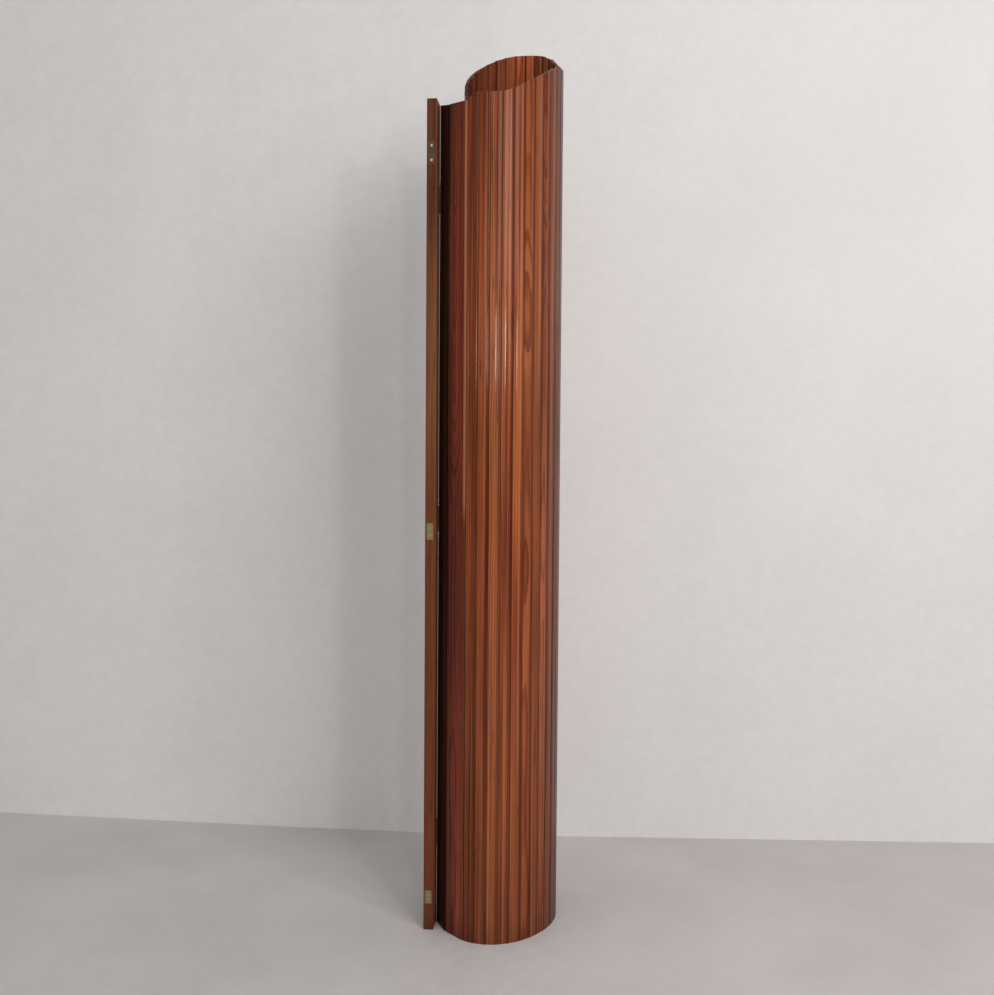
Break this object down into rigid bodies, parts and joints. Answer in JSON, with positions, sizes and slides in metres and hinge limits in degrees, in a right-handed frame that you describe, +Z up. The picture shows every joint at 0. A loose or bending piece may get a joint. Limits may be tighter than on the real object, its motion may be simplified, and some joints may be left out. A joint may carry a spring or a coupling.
{
  "type": "roll-up slat screen",
  "caption": "Free-standing roll-up screen of upright wooden slats hinged edge to edge, with a wave-cut top, a wide board and a folding end post.",
  "frame": {"origin": "middle of the rolled screen's plan, on the floor", "axes": "+Z up along the slats, +X to the right and +Y away from the viewer who faces the open side of the folded post"},
  "size_m": [0.249, 0.2434, 1.6583],
  "materials": {
    "slat_wood": "satin varnish, aged",
    "board_wood": "satin varnish, aged, darker",
    "post_wood": "satin varnish, worn at the corners",
    "hinge_brass": "aged brass",
    "plate_brass": "tarnished greenish brass",
    "screw_brass": "worn brass"
  },
  "bodies": {
    "hinge_stile": {"hinge_stile": "post_wood", "stile_hinge_leaves": "hinge_brass", "hinge_pins": "hinge_brass", "stile_leaf_screws": "screw_brass"},
    "end_post": {"end_post": "post_wood", "post_hinge_leaves": "hinge_brass", "post_leaf_screws": "screw_brass", "top_keeper_plate": "plate_brass", "middle_keeper_plate": "plate_brass", "bottom_keeper_plate": "plate_brass", "keeper_screws": "screw_brass"},
    "wide_board": {"wide_board": "board_wood"},
    "slat_01": {"slat_01": "slat_wood"},
    "slat_02": {"slat_02": "slat_wood"},
    "slat_03": {"slat_03": "slat_wood"},
    "slat_04": {"slat_04": "slat_wood"},
    "slat_05": {"slat_05": "slat_wood"},
    "slat_06": {"slat_06": "slat_wood"},
    "slat_07": {"slat_07": "slat_wood"},
    "slat_08": {"slat_08": "slat_wood"},
    "slat_09": {"slat_09": "slat_wood"},
    "slat_10": {"slat_10": "slat_wood"},
    "slat_11": {"slat_11": "slat_wood"},
    "slat_12": {"slat_12": "slat_wood"},
    "slat_13": {"slat_13": "slat_wood"},
    "slat_14": {"slat_14": "slat_wood"},
    "slat_15": {"slat_15": "slat_wood"},
    "slat_16": {"slat_16": "slat_wood"},
    "slat_17": {"slat_17": "slat_wood"},
    "slat_18": {"slat_18": "slat_wood"},
    "slat_19": {"slat_19": "slat_wood"},
    "slat_20": {"slat_20": "slat_wood"},
    "slat_21": {"slat_21": "slat_wood"},
    "slat_22": {"slat_22": "slat_wood"},
    "slat_23": {"slat_23": "slat_wood"},
    "slat_24": {"slat_24": "slat_wood"},
    "slat_25": {"slat_25": "slat_wood"},
    "slat_26": {"slat_26": "slat_wood"},
    "slat_27": {"slat_27": "slat_wood"},
    "slat_28": {"slat_28": "slat_wood"},
    "end_stile": {"end_stile": "board_wood"}
  },
  "joints": [
    {"name": "post_fold", "type": "hinge", "parent": "hinge_stile", "child": "end_post", "pos_m": [-0.10269, -0.02848, 0], "axis": [0, 0, 1], "range_deg": [-152, 26]},
    {"name": "open_front_back", "type": "hinge", "parent": "wide_board", "child": "hinge_stile", "pos_m": [-0.08195, -0.0654, 0], "axis": [0, 0, 1], "range_deg": [0, 20]},
    {"name": "open_sides", "type": "hinge", "parent": "slat_08", "child": "slat_07", "pos_m": [0.0791, -0.07834, 0], "axis": [0, 0, 1], "range_deg": [0, 7.2]},
    {"name": "slat_01_hinge", "type": "hinge", "parent": "slat_01", "child": "wide_board", "pos_m": [-0.04983, -0.10107, 0], "axis": [0, 0, 1], "range_deg": [-5, 41]},
    {"name": "slat_02_hinge", "type": "hinge", "parent": "slat_02", "child": "slat_01", "pos_m": [-0.03208, -0.11132, 0], "axis": [0, 0, 1], "range_deg": [-7.4, 38.6]},
    {"name": "slat_03_hinge", "type": "hinge", "parent": "slat_03", "child": "slat_02", "pos_m": [-0.01222, -0.11642, 0], "axis": [0, 0, 1], "range_deg": [-8.8, 37.2]},
    {"name": "slat_04_hinge", "type": "hinge", "parent": "slat_04", "child": "slat_03", "pos_m": [0.00828, -0.11649, 0], "axis": [0, 0, 1], "range_deg": [-10.2, 35.8]},
    {"name": "slat_05_hinge", "type": "hinge", "parent": "slat_05", "child": "slat_04", "pos_m": [0.02828, -0.11202, 0], "axis": [0, 0, 1], "range_deg": [-11.6, 34.4]},
    {"name": "slat_06_hinge", "type": "hinge", "parent": "slat_06", "child": "slat_05", "pos_m": [0.04701, -0.10368, 0], "axis": [0, 0, 1], "range_deg": [-13, 33]},
    {"name": "slat_07_hinge", "type": "hinge", "parent": "slat_07", "child": "slat_06", "pos_m": [0.06401, -0.09222, 0], "axis": [0, 0, 1], "range_deg": [-14.4, 31.6]},
    {"name": "slat_09_hinge", "type": "hinge", "parent": "slat_09", "child": "slat_08", "pos_m": [0.09233, -0.06269, 0], "axis": [0, 0, 1], "range_deg": [-15.26, 30.74]},
    {"name": "slat_10_hinge", "type": "hinge", "parent": "slat_10", "child": "slat_09", "pos_m": [0.10333, -0.04539, 0], "axis": [0, 0, 1], "range_deg": [-14.71, 31.29]},
    {"name": "slat_11_hinge", "type": "hinge", "parent": "slat_11", "child": "slat_10", "pos_m": [0.11172, -0.02669, 0], "axis": [0, 0, 1], "range_deg": [-14.17, 31.83]},
    {"name": "slat_12_hinge", "type": "hinge", "parent": "slat_12", "child": "slat_11", "pos_m": [0.11715, -0.00692, 0], "axis": [0, 0, 1], "range_deg": [-13.63, 32.37]},
    {"name": "slat_13_hinge", "type": "hinge", "parent": "slat_13", "child": "slat_12", "pos_m": [0.11928, 0.01347, 0], "axis": [0, 0, 1], "range_deg": [-13.09, 32.91]},
    {"name": "slat_14_hinge", "type": "hinge", "parent": "slat_14", "child": "slat_13", "pos_m": [0.11787, 0.03392, 0], "axis": [0, 0, 1], "range_deg": [-12.54, 33.46]},
    {"name": "slat_15_hinge", "type": "hinge", "parent": "slat_14", "child": "slat_15", "pos_m": [0.11277, 0.05378, 0], "axis": [0, 0, -1], "range_deg": [-12, 34]},
    {"name": "slat_16_hinge", "type": "hinge", "parent": "slat_15", "child": "slat_16", "pos_m": [0.10398, 0.0723, 0], "axis": [0, 0, -1], "range_deg": [-11.34, 34.66]},
    {"name": "slat_17_hinge", "type": "hinge", "parent": "slat_16", "child": "slat_17", "pos_m": [0.09163, 0.08866, 0], "axis": [0, 0, -1], "range_deg": [-10.69, 35.31]},
    {"name": "slat_18_hinge", "type": "hinge", "parent": "slat_17", "child": "slat_18", "pos_m": [0.07607, 0.10201, 0], "axis": [0, 0, -1], "range_deg": [-10.03, 35.97]},
    {"name": "slat_19_hinge", "type": "hinge", "parent": "slat_18", "child": "slat_19", "pos_m": [0.05791, 0.11152, 0], "axis": [0, 0, -1], "range_deg": [-9.37, 36.63]},
    {"name": "slat_20_hinge", "type": "hinge", "parent": "slat_19", "child": "slat_20", "pos_m": [0.03802, 0.11649, 0], "axis": [0, 0, -1], "range_deg": [-8.71, 37.29]},
    {"name": "slat_21_hinge", "type": "hinge", "parent": "slat_20", "child": "slat_21", "pos_m": [0.01752, 0.1164, 0], "axis": [0, 0, -1], "range_deg": [-8.06, 37.94]},
    {"name": "slat_22_hinge", "type": "hinge", "parent": "slat_21", "child": "slat_22", "pos_m": [-0.00226, 0.11103, 0], "axis": [0, 0, -1], "range_deg": [-7.4, 38.6]},
    {"name": "slat_23_hinge", "type": "hinge", "parent": "slat_22", "child": "slat_23", "pos_m": [-0.01987, 0.10053, 0], "axis": [0, 0, -1], "range_deg": [-8.59, 37.41]},
    {"name": "slat_24_hinge", "type": "hinge", "parent": "slat_23", "child": "slat_24", "pos_m": [-0.03431, 0.08598, 0], "axis": [0, 0, -1], "range_deg": [-9.77, 36.23]},
    {"name": "slat_25_hinge", "type": "hinge", "parent": "slat_24", "child": "slat_25", "pos_m": [-0.04504, 0.06851, 0], "axis": [0, 0, -1], "range_deg": [-10.96, 35.04]},
    {"name": "slat_26_hinge", "type": "hinge", "parent": "slat_25", "child": "slat_26", "pos_m": [-0.05189, 0.04919, 0], "axis": [0, 0, -1], "range_deg": [-12.14, 33.86]},
    {"name": "slat_27_hinge", "type": "hinge", "parent": "slat_26", "child": "slat_27", "pos_m": [-0.05497, 0.02892, 0], "axis": [0, 0, -1], "range_deg": [-13.33, 32.67]},
    {"name": "slat_28_hinge", "type": "hinge", "parent": "slat_27", "child": "slat_28", "pos_m": [-0.05461, 0.00843, 0], "axis": [0, 0, -1], "range_deg": [-14.51, 31.49]},
    {"name": "end_stile_hinge", "type": "hinge", "parent": "slat_28", "child": "end_stile", "pos_m": [-0.05123, -0.01179, 0], "axis": [0, 0, -1], "range_deg": [-15.7, 30.3]}
  ],
  "couplings": [
    {"joint": "slat_01_hinge", "follows": "open_front_back", "ratio": 0.9},
    {"joint": "slat_02_hinge", "follows": "open_front_back", "ratio": 0.78},
    {"joint": "slat_03_hinge", "follows": "open_front_back", "ratio": 0.71},
    {"joint": "slat_04_hinge", "follows": "open_front_back", "ratio": 0.64},
    {"joint": "slat_05_hinge", "follows": "open_front_back", "ratio": 0.57},
    {"joint": "slat_06_hinge", "follows": "open_front_back", "ratio": 0.5},
    {"joint": "slat_07_hinge", "follows": "open_front_back", "ratio": 0.43},
    {"joint": "slat_09_hinge", "follows": "open_sides", "ratio": 1.0754},
    {"joint": "slat_10_hinge", "follows": "open_sides", "ratio": 1.1508},
    {"joint": "slat_11_hinge", "follows": "open_sides", "ratio": 1.2262},
    {"joint": "slat_12_hinge", "follows": "open_sides", "ratio": 1.3016},
    {"joint": "slat_13_hinge", "follows": "open_sides", "ratio": 1.377},
    {"joint": "slat_14_hinge", "follows": "open_sides", "ratio": 1.4524},
    {"joint": "slat_15_hinge", "follows": "open_front_back", "ratio": 0.55},
    {"joint": "slat_16_hinge", "follows": "open_front_back", "ratio": 0.58286},
    {"joint": "slat_17_hinge", "follows": "open_front_back", "ratio": 0.61571},
    {"joint": "slat_18_hinge", "follows": "open_front_back", "ratio": 0.64857},
    {"joint": "slat_19_hinge", "follows": "open_front_back", "ratio": 0.68143},
    {"joint": "slat_20_hinge", "follows": "open_front_back", "ratio": 0.71429},
    {"joint": "slat_21_hinge", "follows": "open_front_back", "ratio": 0.74714},
    {"joint": "slat_22_hinge", "follows": "open_sides", "ratio": 2.1667},
    {"joint": "slat_23_hinge", "follows": "open_sides", "ratio": 2.002},
    {"joint": "slat_24_hinge", "follows": "open_sides", "ratio": 1.8373},
    {"joint": "slat_25_hinge", "follows": "open_sides", "ratio": 1.6726},
    {"joint": "slat_26_hinge", "follows": "open_sides", "ratio": 1.5079},
    {"joint": "slat_27_hinge", "follows": "open_sides", "ratio": 1.3433},
    {"joint": "slat_28_hinge", "follows": "open_sides", "ratio": 1.1786},
    {"joint": "end_stile_hinge", "follows": "open_sides", "ratio": 1.0139}
  ]
}
